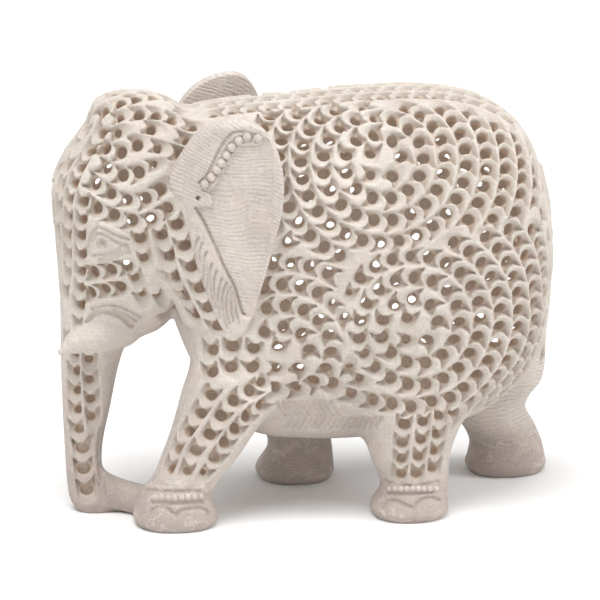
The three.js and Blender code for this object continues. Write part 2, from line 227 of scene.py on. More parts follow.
# %% Points on the skin
def slope(p, step=0.5):
    """The skin field's gradient by differences over one step each way."""
    g = np.empty_like(p)
    for k in range(3):
        d = np.zeros(3)
        d[k] = step
        g[..., k] = (skin(p + d) - skin(p - d)) / (2 * step)
    return g


def settle(p, rounds=4):
    """Brings points onto the skin along the steepest way. Returns them and their normals."""
    for _ in range(rounds):
        g = slope(p)
        p = p - g * (skin(p) / np.maximum((g * g).sum(-1), 0.05))[..., None]
    g = slope(p)
    return p, g / np.linalg.norm(g, axis=-1, keepdims=True)


def unit(v):
    """Vectors of length one."""
    return v / np.maximum(np.linalg.norm(v, axis=-1, keepdims=True), 1e-9)


def across(v, n):
    """The part of v that lies along the surface with normal n, as a unit vector."""
    return unit(v - n * (v * n).sum(-1, keepdims=True))


p, n = settle(np.array([[0, -30.0, 80]]))
print("a point of the flank:", p.round(1), "facing", n.round(2))

# %% [markdown]
# ## The ear's outline
# One closed curve through a few points gives the whole plate: the round top, the long back
# edge, and the strip of fine hair in front of the incised line.

# %% Outlines and smooth curves
EAR = np.array([
    [-45, 107], [-40.5, 117], [-35.5, 123.5], [-28, 126.8], [-20, 126.6], [-14.8, 121.5],
    [-12, 112], [-12.2, 101], [-14.8, 89], [-18.4, 75.5], [-22.4, 63], [-26, 60], [-29.5, 62],
    [-32, 67], [-34.8, 74.5], [-37.5, 83.2], [-39.6, 92.6], [-41, 99.5]])


def line_distance(x, z, points):
    """Distance from places in the XZ plane to an open line, the least over its stretches."""
    best = np.full(x.shape, 1e9)
    for (x1, z1), (x2, z2) in zip(points[:-1], points[1:]):
        ex, ez = x2 - x1, z2 - z1
        t = np.clip(((x - x1) * ex + (z - z1) * ez) / (ex * ex + ez * ez), 0, 1)
        best = np.minimum(best, np.hypot(x - x1 - t * ex, z - z1 - t * ez))
    return best


def polygon_distance(x, z, outline):
    """Signed distance to a closed outline, negative inside. A place is inside when a line from
    it along x crosses the outline an odd number of times."""
    closed = np.vstack([outline, outline[:1]])
    inside = np.zeros(x.shape, bool)
    for (x1, z1), (x2, z2) in zip(closed[:-1], closed[1:]):
        if z1 != z2:
            inside ^= ((z1 > z) != (z2 > z)) & (x < (x2 - x1) * (z - z1) / (z2 - z1) + x1)
    best = line_distance(x, z, closed)
    return np.where(inside, -best, best)


def rounded(points, closed=True, steps=6):
    """A smooth curve through a few points, as many short chords: a cubic in each gap, whose
    slope at a point is half the step between its two neighbours."""
    p = np.asarray(points, float)
    n = len(p)
    out = []
    for i in range(n if closed else n - 1):
        around = [i + k for k in (-1, 0, 1, 2)]
        a, b, c, d = (p[k % n] if closed else p[min(max(k, 0), n - 1)] for k in around)
        for t in np.arange(steps) / steps:
            bend = 2 * a - 5 * b + 4 * c - d + t * (3 * (b - c) + d - a)
            out.append(b + 0.5 * t * (c - a + t * bend))
    if not closed:
        out.append(p[-1])
    return np.array(out)


EAR_CURVE = rounded(EAR)
print("chords in the ear's outline:", len(EAR_CURVE))

# %% [markdown]
# ## Where the leaves go
# On the stone the leaves run in bands, one band beside the next, each leaf overlapping the one
# behind it like tiles. On the head, the trunk and the legs their places are taken from the
# holes in the photo, line by line. On the flank the bands wind in three scrolls, so they are
# laid out as spirals that grow by one band's width each turn.

# %% From the photo to the skin
BAND, PITCH = 6.8, 5.6


def rays(px, py):
    """Where the camera's rays through photo pixels start, and their direction."""
    px, py = np.atleast_1d(np.asarray(px, float)), np.atleast_1d(np.asarray(py, float))
    beside = cam_right * (px - 300)[:, None] + cam_up * (300 - py)[:, None]
    start = beside / pixels_per_mm + cam_target
    return start, unit(start - cam_target - cam_back * cam_distance)


def on_skin(points):
    """The points of the skin that the camera sees at photo pixels. A step along a ray is most
    of the skin field's value, so it comes close and doesn't pass through."""
    start, ray = rays(*np.array(points, float).T)
    at = start - ray * 120
    for _ in range(60):
        at = at + ray * np.clip(skin(at) * 0.8, -2, 8)[:, None]
    return at


def on_ear(points):
    """The points of the near ear's leaning face that the camera sees at photo pixels."""
    start, ray = rays(*np.array(points, float).T)
    t = -(start[:, 1] + ear_face(start[:, 0])) / (ray[:, 1] + EAR_LEAN * ray[:, 0])
    return start + ray * t[:, None]


def to_photo(p):
    """The photo pixels of points, for the long lens."""
    away = p - cam_target
    return 300 + pixels_per_mm * (away @ cam_right), 300 - pixels_per_mm * (away @ cam_up)


print("the eye's pupil in the photo lies at", on_skin([(102, 243.5)]).round(1))


# %% Lines and spirals of leaves
def along_line(points, pitch=PITCH):
    """Leaves along a line on the skin: evenly spaced, each tip pointing to the next."""
    curve = rounded(points, closed=False, steps=12)
    length = np.concatenate([[0], np.cumsum(np.linalg.norm(np.diff(curve, axis=0), axis=1))])
    count = max(2, int(round(length[-1] / pitch)) + 1)
    at = np.linspace(0, length[-1], count)
    p = np.stack([np.interp(at, length, curve[:, k]) for k in range(3)], -1)
    p, n = settle(p)
    t = across(np.gradient(p, axis=0), n)
    return p, t, n


def from_photo(points):
    """Leaves just past the holes seen in the photo, each tip pointing to the next hole."""
    p, n = settle(on_skin(points))
    t = across(np.gradient(p, axis=0), n)
    p, n = settle(p + t)
    return p, across(t, n), n


def spiral(x, y, z, reach):
    """Leaves along a flat spiral laid over the skin. Its radius is the band's width times the
    turns so far, and each leaf turns on by the pitch over the radius."""
    centre, n0 = settle(np.array([[x, y, z]], float))
    up = across(np.array([[0, 0, 1.0]]), n0)
    side = np.cross(up, n0)
    angles = []
    angle = math.pi * 0.9
    while BAND * angle / (2 * math.pi) < reach:
        angles.append(angle)
        angle += PITCH / max(BAND * angle / (2 * math.pi), PITCH * 0.6)
    angles = np.array(angles)[:, None]
    radius = BAND * angles / (2 * math.pi)
    heading = up * np.sin(angles) + side * np.cos(angles)
    p = np.repeat(centre, len(angles), 0)
    n = np.repeat(n0, len(angles), 0)
    steps = 16
    for _ in range(steps):
        heading = across(heading, n)
        p, n = settle(p + heading * radius / steps, rounds=2)
    heading = across(heading, n)
    t = np.cross(n, heading)
    return p, t, n


# %% [markdown]
# Some of the stone is left unpierced: the patch round the eye, the lip and tusks, the band
# under the belly, the feet, and whatever the ears cover.

# %% Stone left plain
FEET_TOP = 31
PLAIN = [
    [(187, 212), (200, 205), (210, 228), (257, 330), (240, 345), (222, 332), (197, 262)],
    [(85, 230), (93, 224), (115, 224), (132, 235), (137, 248), (133, 260), (120, 264),
     (90, 268), (83, 255)],
    [(66, 302), (128, 300), (150, 318), (165, 330), (150, 350), (60, 350)],
    [(258, 400), (300, 396), (345, 400), (392, 412), (392, 445), (250, 445)],
]


def plain(p):
    """Where the stone is left unpierced: the patches of the photo, the same on the far side, and
    what lies under the ears, below the belly and at the tail."""
    x, y, z = p[..., 0], p[..., 1], p[..., 2]
    px, py = to_photo(np.stack([x, -np.abs(y), z], -1))
    out = (z < FEET_TOP) | (np.abs(y) < 5) & (x > 66)
    out |= (polygon_distance(x, z, EAR_CURVE) < -1.5) & (y < -12)
    out |= (polygon_distance(x - FAR_EAR_SHIFT[0], z, EAR_CURVE) < -1.5) & (y > 12)
    for patch in PLAIN:
        out |= polygon_distance(px, py, np.array(patch, float)) < 0
    return out


print("plain patches in the photo:", len(PLAIN))


# %% Three scrolls on the flank
groups = []


def add(cells, order):
    """Keeps a set of leaves. Where two sets meet, the one of the lower order stays."""
    p, t, n = cells
    groups.append((np.full(len(p), order), p, t, n))


SCROLLS = [(18.7, -25, 111.8, 60), (28.9, -33, 61.4, 52), (-10.5, -32, 53.5, 30)]
centres, _ = settle(np.array([scroll[:3] for scroll in SCROLLS], float))
for i, (x, y, z, reach) in enumerate(SCROLLS):
    p, t, n = spiral(x, y, z, reach)
    gaps = np.linalg.norm(p[:, None] - centres[None], axis=-1)
    keep = (gaps.argmin(1) == i) & ~plain(p) & (p[:, 1] < -4) & (p[:, 0] > -36)
    keep &= ~((p[:, 2] > 118) & (p[:, 1] > -11))
    add((p[keep], t[keep], n[keep]), 1)
    print("scroll", i, "leaves:", int(keep.sum()))

# %% Lines of leaves on the head, the trunk and the legs
# Each row follows one band of holes in the photo, by their pixels.
HOLE_LINES = [
    [(104, 108), (120, 101), (137, 96), (154, 95), (171, 99), (187, 106)],
    [(108, 120), (122, 115), (140, 112), (158, 113), (175, 118), (191, 125)],
    [(118, 131), (130, 128), (143, 126), (155, 128), (167, 132), (188, 139)],
    [(104, 147), (120, 151), (138, 143), (162, 148), (182, 154)],
    [(107, 168), (122, 175), (140, 172), (154, 164), (177, 168)],
    [(112, 116), (98, 133), (87, 150), (78, 166), (71, 183), (67, 200)],
    [(103, 140), (94, 158), (87, 173), (82, 190), (80, 205), (79, 220)],
    [(95, 185), (111, 195), (127, 201), (147, 199), (163, 187)],
    [(82, 197), (96, 210), (115, 217), (134, 222), (151, 220), (168, 208)],
    [(177, 228), (185, 249), (192, 270), (200, 291), (208, 310), (218, 328)],
    [(161, 239), (167, 261), (173, 281), (183, 299), (193, 317)],
    [(142, 242), (146, 262), (154, 282), (162, 300), (173, 312)],
    [(137, 282), (145, 299), (153, 311)],
    [(132, 221), (152, 218), (161, 239)],
    [(89, 294), (104, 291), (120, 289)], [(94, 274), (111, 272), (127, 268)],
    [(78, 219), (77.5, 238), (78, 257), (77.5, 273), (77, 290), (77, 308), (79, 327)],
    [(67, 200), (67, 219), (66, 238), (67, 257), (67, 276), (68, 296), (69, 310), (70, 328)],
    [(73, 335), (73, 355), (73, 374), (74, 393), (75, 412), (77, 431), (83, 451), (84, 471),
     (87, 491)],
    [(88, 345), (89, 364), (90, 383), (92, 402), (93, 418)],
    [(66, 340), (65, 360), (65, 380), (66, 400), (67, 420), (70, 440), (72, 460), (73, 480)],
    [(250, 392), (234, 402), (220, 418), (208, 437), (194, 453), (186, 473)],
    [(262, 408), (249, 418), (237, 431), (226, 445), (216, 459), (204, 474)],
    [(207, 396), (196, 414), (184, 432), (174, 449), (167, 468)],
    [(335, 388), (353, 397), (373, 402), (392, 405), (413, 408), (435, 402)],
    [(404, 428), (402, 444), (401, 460), (399, 475)],
    [(424, 424), (422, 441), (419, 458), (417, 474)],
    [(441, 420), (439, 436), (437, 452), (435, 468)],
]
for line in HOLE_LINES:
    add(from_photo(line), 0)
for y in (-BAND, 0, BAND):
    add(along_line([(66 - abs(y), y, 118), (38, y, 128), (0, y, 125), (-30, y, 124)]), 0)
print("lines of leaves:", len(groups) - len(SCROLLS))

# %% [markdown]
# The photo doesn't show the far side. It gets the same leaves, mirrored and settled on its own
# skin, and four plain lines down its two legs. Where two leaves come too close, only one stays.

# %% The far side
# P, T and N hold each leaf's place, the way its tip points and the way the skin faces there.
order, P, T, N = (np.concatenate([g[k] for g in groups]) for k in range(4))
MIRRORED_ABOVE, FARTHEST_MOVE, ON_SKIN = 38, 4.5, 0.3
mirror = (P[:, 1] < -1.5) & (P[:, 2] > MIRRORED_ABOVE)
flip = np.array([1, -1, 1.0])
there, far_n = settle(P[mirror] * flip)
moved = np.linalg.norm(there - P[mirror] * flip, axis=1)
landed = (moved < FARTHEST_MOVE) & (np.abs(skin(there)) < ON_SKIN)
far_t = across(T[mirror] * flip, far_n)
P = np.concatenate([P, there[landed]])
T = np.concatenate([T, far_t[landed]])
N = np.concatenate([N, far_n[landed]])
order = np.concatenate([order, order[mirror][landed]])
print("leaves mirrored:", int(landed.sum()), "of", int(mirror.sum()))
for line in [[(-4, 32, 38), (0, 32, 14)], [(3, 32, 38), (6, 32, 14)],
             [(56, 32, 38), (62, 32, 14)], [(64, 32, 38), (68, 30, 14)]]:
    p, t, n = along_line(line)
    P, T, N = np.concatenate([P, p]), np.concatenate([T, t]), np.concatenate([N, n])
    order = np.concatenate([order, np.zeros(len(p))])

print("leaves laid out:", len(P))


# %% Leaves that come too close
NEAREST = 0.78


def thin_out(P, T, N, order):
    """Keeps a leaf only where no kept leaf is too near, measured in pitches along it and in
    bands across it. Drawn lines go before scrolls."""
    kept = []
    for i in np.argsort(order, kind="stable"):
        if kept:
            d = P[kept] - P[i]
            a = (d * T[i]).sum(-1) / PITCH
            b = (d * np.cross(N[i], T[i])).sum(-1) / BAND
            far = (np.hypot(a, b) > NEAREST) | (N[kept] @ N[i] < 0.2)
            if not (far | (np.linalg.norm(d, axis=1) > 9)).all():
                continue
        kept.append(i)
    return kept


kept = thin_out(P, T, N, order)
P, T, N = P[kept], T[kept], N[kept]
print("leaves kept:", len(P))

# %% [markdown]
# Between the lines and the scrolls some bare stone is left. Points are thrown on the skin, and
# the one that is furthest from all leaves gets a leaf, pointing as its neighbours do, until no
# gap is wider than a leaf.

# %% Leaves in the gaps
WIDEST_GAP, TRIES = 5.6, 14000
rng = np.random.default_rng(7)
tries = rng.uniform((-78, -36, 12), (78, 36, 131), (TRIES, 3))
tries, tn = settle(tries, rounds=6)
ok = (np.abs(skin(tries)) < ON_SKIN) & ~plain(tries) & (tries[:, 2] > 40)
ok &= ~((tries[:, 0] < -36) & (tries[:, 2] < 66)) & np.isfinite(tries).all(1)
tries, tn = tries[ok], tn[ok]
added = 0
gap = np.linalg.norm(tries[:, None] - P[None], axis=-1).min(1)
while gap.max() > WIDEST_GAP:
    i = gap.argmax()
    nearest = np.argsort(np.linalg.norm(P - tries[i], axis=1))[:3]
    t = across(T[nearest].mean(0), tn[i])
    P, T, N = np.vstack([P, tries[i]]), np.vstack([T, t]), np.vstack([N, tn[i]])
    gap = np.minimum(gap, np.linalg.norm(tries - tries[i], axis=1))
    added += 1
print("tries kept:", len(tries), "leaves added in gaps:", added, "in all:", len(P))

# %% [markdown]
# A leaf may reach half way to its neighbours: sideways to the next band on its left and right,
# and along the band to the leaf ahead and the leaf behind. B is the direction across a leaf.

# %% How wide and long each leaf may be
LEAST_WIDTH, LEAST_LENGTH = 1.9, 2.2
B = np.cross(N, T)
d = P[None] - P[:, None]
facing = (N @ N.T) > 0.3
a = (d * T[:, None]).sum(-1)
b = (d * B[:, None]).sum(-1)
beside = facing & (np.abs(a) < 0.75 * PITCH)
np.fill_diagonal(beside, False)
left = np.where(beside & (b > 1.5), b, 99).min(1)
right = np.where(beside & (b < -1.5), -b, 99).min(1)
wide_l = np.clip(left / 2, LEAST_WIDTH, BAND / 2)
wide_r = np.clip(right / 2, LEAST_WIDTH, BAND / 2)
behind = facing & (np.abs(b) < 0.5 * BAND) & (a < -1)
back = np.where(behind, -a, 99).min(1)
ahead = facing & (np.abs(b) < 0.5 * BAND) & (a > 1)
front = np.where(ahead, a, 99).min(1)
long_b = np.clip(back / 2, LEAST_LENGTH, PITCH * 0.6)
long_f = np.clip(front / 2, LEAST_LENGTH, PITCH * 0.6)
print("half widths:", wide_l.mean(), wide_r.mean(), "half lengths:", long_b.mean(), long_f.mean())

# %% [markdown]
# ## The block of stone
# The block is a grid of about 23 million numbers, 0.42 mm apart. Finer would show crisper
# edges but take more memory and time. Each form is worked out only in a window around itself.

# %% The grid
H = 0.42
low, high = np.array([-80.0, -39.0, -1.2]), np.array([80.0, 39.0, 132.0])
shape = np.ceil((high - low) / H).astype(int) + 1
gx, gy, gz = (low[k] + H * np.arange(shape[k]) for k in range(3))
print("grid:", shape, "voxels:", int(shape.prod()))


def window(lo, hi):
    """The slice of the grid that covers a box."""
    a = np.clip(np.floor((np.array(lo) - low) / H).astype(int), 0, shape - 1)
    b = np.clip(np.ceil((np.array(hi) - low) / H).astype(int) + 1, 1, shape)
    return tuple(slice(i, j) for i, j in zip(a, b))


def mesh_of(w):
    """The places of a window's grid points, as three arrays that broadcast."""
    return gx[w[0]][:, None, None], gy[w[1]][None, :, None], gz[w[2]][None, None, :]


def outside_grid(form, w):
    """The field of one form over a window."""
    return outside(form, *mesh_of(w)).astype(np.float32)


def reach_of(form, margin=9):
    """The window that holds a form, with a margin in mm."""
    rows = np.array(form[2], float)
    s, u, v = rows[:, 0], rows[:, 1:3], rows[:, 3:5]
    lo = [s.min(), u.min(), v.min()] if form[0] == "x" else [u.min(), v.min(), s.min()]
    hi = [s.max(), u.max(), v.max()] if form[0] == "x" else [u.max(), v.max(), s.max()]
    return window(np.array(lo) - margin, np.array(hi) + margin)


# %% The smooth stone
# The forms are joined with fillets, and the field is divided by its own slope, so that its
# value is close to a true distance in millimetres. F holds the result.
FAR = np.float32(12)
F = np.full(shape, FAR, np.float32)
for form in FORMS:
    w = reach_of(form)
    F[w] = blend(F[w], outside_grid(form, w), FILLET)
w = window([-60, -39, 55], [-5, 39, 115])
swell = cheek(*np.broadcast_arrays(*mesh_of(w))).astype(np.float32)
F[w] = blend(F[w], swell, CHEEK_FILLET)
g = np.gradient(F, H)
F = F / np.clip(np.sqrt(g[0] ** 2 + g[1] ** 2 + g[2] ** 2), 0.45, 1.5)
del g  # three arrays as large as the block
print("stone inside:", float((F < 0).sum() * H**3 / 1000), "cm3")

# %% [markdown]
# ## Carving the leaves
# Each leaf is a sloping hollow. It is deepest at the leaf's root, where the hole is drilled,
# and runs out at the rounded tip, which stands proud of the next leaf's root. The tip's curve
# is a power of the place across the leaf. D holds how deep the stone is carved, and drill is
# the field of all the drilled holes.

# %% Carve the leaves
RELIEF = 3.0
HOLE, FAR_HOLE = 1.65, 1.2
TIP_CURVE, TIP_POWER = 3.6, 2.2
LEAF_WINDOW = 6.5
OVAL, DRILL_BACK = 1.2, 1.8
DEEP, DEEP_IN_FEET, DEEP_IN_TRUNK = 9.0, 5.5, 20.0
D = np.zeros(shape, np.float32)
nearest = np.full(shape, 9.0, np.float32)
reach = np.full(shape, 9.0, np.float32)
drill = np.full(shape, 9.0, np.float32)
for i in range(len(P)):
    w = window(P[i] - LEAF_WINDOW, P[i] + LEAF_WINDOW)
    x, y, z = mesh_of(w)
    dx, dy, dz = x - P[i, 0], y - P[i, 1], z - P[i, 2]
    a = dx * T[i, 0] + dy * T[i, 1] + dz * T[i, 2]
    b = dx * B[i, 0] + dy * B[i, 1] + dz * B[i, 2]
    h = dx * N[i, 0] + dy * N[i, 1] + dz * N[i, 2]
    bn = np.where(b > 0, b / wide_l[i], -b / wide_r[i])
    q = a + TIP_CURVE * bn**TIP_POWER
    f = (q + long_b[i]) / (long_b[i] + long_f[i])
    cell = (f > 0) & (f < 1) & (bn < 1) & (np.abs(h) < 6)
    side = np.clip((1 - bn) * min(wide_l[i], wide_r[i]) / 0.8 - 0.25, 0, 1)
    side = side * side * (3 - 2 * side)
    depth = RELIEF * np.clip(1 - f, 0, 1) ** 0.8 * side
    measure = np.maximum(bn, np.abs(2 * f - 1)).astype(np.float32)
    better = cell & (measure < nearest[w])
    D[w] = np.where(better, depth, D[w])
    nearest[w] = np.where(better, measure, nearest[w])
    ah = -long_b[i] + DRILL_BACK
    room = min(HOLE if P[i, 1] < 4 else FAR_HOLE, min(wide_l[i], wide_r[i]) / OVAL - 0.85)
    r = np.sqrt((a - ah) ** 2 + (b / OVAL) ** 2) - room
    r = np.maximum(r, 0.1 - long_b[i] - q)
    in_trunk = P[i, 0] < -50 and P[i, 2] < 58
    blind = DEEP_IN_FEET if P[i, 2] < 30 else DEEP_IN_TRUNK if in_trunk else DEEP
    reach[w] = np.minimum(reach[w], r)
    r = np.maximum(r, np.maximum(-h - blind, h - 4))
    drill[w] = np.minimum(drill[w], r)


def soften(field):
    """Each value mixed with its six neighbours, so that steps follow the grid less."""
    out = field * 0.4
    for axis in range(3):
        for way in (1, -1):
            out += np.roll(field, way, axis) * 0.1
    return out


D = soften(D)
print("deepest carving:", float(D.max()))

# %% [markdown]
# ## The ears
# Each ear is a thin leaning plate with a rolled edge. Its panel is sunk, its flap folds over the
# top with a row of beads along it, and an incised line parts the panel from a strip of fine
# hair. These lines are finer than the block's grid, so each ear gets its own finer grid.

# %% The lines of the ear, as seen in the photo
def over_columns(measure, x, z, points):
    """A distance in the XZ plane, worked out once for every column of a window."""
    px, pz = np.broadcast_arrays(x[:, :, 0], z[:, 0, :])
    return measure(px, pz, points)[:, None, :].astype(np.float32)


def ear_line(points, closed=False):
    """A smooth line on the ear, through places seen in the photo, as x and z."""
    return rounded(on_ear(points)[:, [0, 2]], closed=closed, steps=5)


bead_places = on_ear([
    (205.3, 184.5), (212, 177.5), (217.5, 170.3), (222, 163.3), (227.3, 155.5), (232.2, 147.8),
    (239.5, 141.2), (247.8, 137.5), (258.3, 138.7)])
dot_place = on_ear([(198.3, 198.3)])[0]
panel_line = ear_line([
    (201, 190), (212, 190), (224, 171), (234, 155), (244, 145), (258, 145), (265, 138),
    (271, 146), (273, 165), (273.5, 195), (271.5, 230), (265, 265), (257, 296), (251, 317),
    (246, 318), (241.7, 311.7), (235, 289), (225, 269), (213.3, 242.5), (205, 225), (198, 209),
    (208, 207), (214, 203), (209, 194)], closed=True)
edge_line = ear_line([(195.8, 208.3), (205, 225), (213.3, 242.5), (225, 269), (235, 289),
                      (241.7, 311.7), (245, 316)])
fold_line = ear_line([(200, 183), (209.2, 172.5), (218.3, 153.3), (225, 141.7), (233.3, 133.3),
                      (245, 131.7)])
hair_strip = ear_line([
    (180, 200), (197, 208), (205, 225), (213.3, 242.5), (225, 269), (235, 289), (243, 314),
    (256, 330), (240, 350), (210, 340), (180, 260)], closed=True)
hairs = [ear_line(line) for line in [
    [(199, 238), (195.5, 247), (196, 256), (200, 265)],
    [(203, 243), (200, 252), (201, 261), (205, 270), (204, 281)],
    [(207, 252), (204.5, 261), (207, 271), (209, 281), (206, 292)],
    [(212, 264), (210, 275), (211, 287), (213, 300), (212, 312)],
    [(217, 271), (214.5, 283), (215, 296), (217, 309)],
    [(222, 279), (219, 291), (219, 305), (221, 319)],
    [(227, 283), (223.5, 294), (223, 307), (225, 320), (228, 329)],
    [(229, 289), (227, 300), (227, 312), (230, 324)],
    [(231, 287), (231.5, 299), (232, 311), (234, 322)],
    [(233, 292), (236, 303), (237, 314), (240, 324)]]]
print("beads on an ear:", len(bead_places), "hair lines:", len(hairs))

# %% Carve both ears
FINE = 0.28
PLATE, ROLL = 5.2, 1.6
PANEL_DEPTH, EAR_BEAD, DOT = 1.15, 1.42, 0.75
beads = []


def incised(x, z, line, depth, half_width, top=1.0):
    """How deep the stone is cut near a line: the depth at the line, fading over the half
    width. A top above one gives the cut a flat floor."""
    return depth * np.clip(top - over_columns(line_distance, x, z, line) / half_width, 0, 1)


def carve_ear(side):
    """One ear's field on its own grid: the largest of the distance to its outline, the height
    over its leaning face, lowered by the carving and by the roll of the edge, and the distance
    below the plate's back. Returns the field and the corner of its grid."""
    move = FAR_EAR_SHIFT if side > 0 else (0.0, 0.0)
    corner = np.array([-48 + move[0], 17.0 if side > 0 else -39.0, 60.0 + move[1]])
    x = (corner[0] + np.arange(0, 40, FINE))[:, None, None] - move[0]
    y = (corner[1] + np.arange(0, 22, FINE))[None, :, None]
    z = (corner[2] + np.arange(0, 70, FINE))[None, None, :] - move[1]
    flat = over_columns(polygon_distance, x, z, EAR_CURVE)
    in_panel = np.clip(0.5 - over_columns(polygon_distance, x, z, panel_line) / 0.5, 0, 1)
    relief = -PANEL_DEPTH * in_panel
    relief -= incised(x, z, edge_line, 1.5, 0.65)
    for line in hairs:
        relief = np.minimum(relief, -incised(x, z, line, 0.85, 0.42, top=1.3))
    relief -= incised(x, z, fold_line, 1.1, 0.7)
    relief = np.minimum(relief, -incised(x, z, bead_places[:, [0, 2]], 0.9, 1.2, top=1.5))
    out = np.abs(y) - ear_face(x)
    soft = np.clip(ROLL + flat, 0, ROLL)
    ear = np.maximum(np.maximum(flat, out - relief + 0.35 * soft * soft), -PLATE - out)
    for bx, _, bz in bead_places:
        beads.append((bx + move[0], side * (ear_face(bx) - 0.55), bz + move[1], EAR_BEAD))
    dot = np.sqrt((x - dot_place[0]) ** 2 + (out * 0.4) ** 2 + (z - dot_place[2]) ** 2)
    return np.maximum(ear, DOT - dot).astype(np.float32), corner


ears = [carve_ear(side) for side in (-1, 1)]
print("ear grids:", [field.shape for field, _ in ears])

# %% [markdown]
# ## Tusks, trunk tip and tail
# The tusks are short tapering rods beside the trunk, the trunk's tip curls back over the foot,
# and the tail is a low strip down the rump. They could be separate objects, but on the stone
# they grow out of it. So they are a field of their own, blended in after the carving.

# %% Tusks, trunk tip and tail
TUSK_RADII = [5.4, 5.3, 3.6, 1.1]
TUSKS = [[[-58, -9.2, 57.6], [-66, -10.2, 56.9], [-72, -11.2, 54.9], [-76.8, -12, 52.2]],
         [[-58, 9.2, 57.6], [-64.5, 12.2, 56.9], [-68.8, 14.6, 54.9], [-71.6, 16.2, 52.6]]]


def from_line(w, a, b):
    """For a window's points: how far along from a to b their nearest place on the line lies,
    from 0 to 1, and how far away it is."""
    x, y, z = mesh_of(w)
    e = b - a
    along = (x - a[0]) * e[0] + (y - a[1]) * e[1] + (z - a[2]) * e[2]
    t = np.clip(along / (e @ e + 1e-9), 0, 1)
    return t, np.sqrt(sum((at - start - t * way) ** 2 for at, start, way in zip((x, y, z), a, e)))


def rod(points, radii):
    """A field of round rods from point to point: the distance to the line, less a radius that
    goes evenly from one end's to the other's."""
    pts = np.array(points, float)
    w = window(pts.min(0) - 8, pts.max(0) + 8)
    best = FAR
    for a, b, r0, r1 in zip(pts[:-1], pts[1:], radii[:-1], radii[1:]):
        t, gap = from_line(w, a, b)
        best = np.minimum(best, gap - (r0 + (r1 - r0) * t))
    return w, best


extra = np.full(shape, FAR, np.float32)
for bends in TUSKS:
    w, f = rod(bends, TUSK_RADII)
    extra[w] = blend(extra[w], f, 1.0)
for form, fillet in ((TAIL, 2.0), (TRUNK_TIP, 3.0)):
    w = reach_of(form, 4)
    extra[w] = blend(extra[w], outside_grid(form, w), fillet)
print("tusks, trunk tip and tail:", float((extra < 0).sum() * H**3 / 1000), "cm3")

# %% [markdown]
# ## Incised lines and small beads
# The eye, the folds of the lip, the lines of the trunk, the herringbone under the belly, the
# anklets and the toenails are cut with a small gouge. Bump in the material would be flat at the
# outline. A tube taken out of the stone leaves the gouge's own rounded groove.

# %% Grooves and rows of beads
LONGEST_STRETCH = 4


def on_both_sides(p, twin):
    """Points settled on the skin, and their mirror image, moved by the twin's step and settled.
    Without a twin there is only the near side."""
    runs = [settle(p, rounds=3)]
    if twin is not None:
        runs.append(settle(p * flip + np.array(twin, float), rounds=4))
    return runs


def tube_radius(width, depth):
    """The circle that is as wide as a groove at the skin where it reaches as deep as it: the
    squares of half the width and of the depth, over twice the depth."""
    return (width * width / 4 + depth * depth) / (2 * depth)


def groove(points, width, depth, twin):
    """A rounded groove along photo points, cut by a tube whose line lies outside the skin."""
    radius = tube_radius(width, depth)
    for p, n in on_both_sides(rounded(on_skin(points), closed=False, steps=5), twin):
        cut_tube(p + n * (radius - depth), radius)


def cut_tube(p, radius):
    """Takes a tube along the points out of the stone, but for a stretch that leaves the body."""
    for a, b in zip(p[:-1], p[1:]):
        if np.linalg.norm(b - a) > LONGEST_STRETCH:
            continue
        w = window(np.minimum(a, b) - radius - 1, np.maximum(a, b) + radius + 1)
        drill[w] = np.minimum(drill[w], from_line(w, a, b)[1] - radius)


def bead_row(points, radius, rise, twin):
    """Beads along photo points, their centres sunk so that they stand out by the rise."""
    for p, n in on_both_sides(on_skin(points), twin):
        beads.extend((*c, radius) for c in p + n * (rise - radius))


HEAD_TWIN, FORE_TWIN, HIND_TWIN = (0, 0, 0), (43.4, -0.8, 0), (36.7, -2.5, 0)
iris = [(102 + 3.9 * math.cos(t), 244.5 + 4.1 * math.sin(t))
        for t in np.linspace(0, 2 * math.pi, 13)]
print("radius of the tube for a toenail's line:", tube_radius(1.2, 0.8))

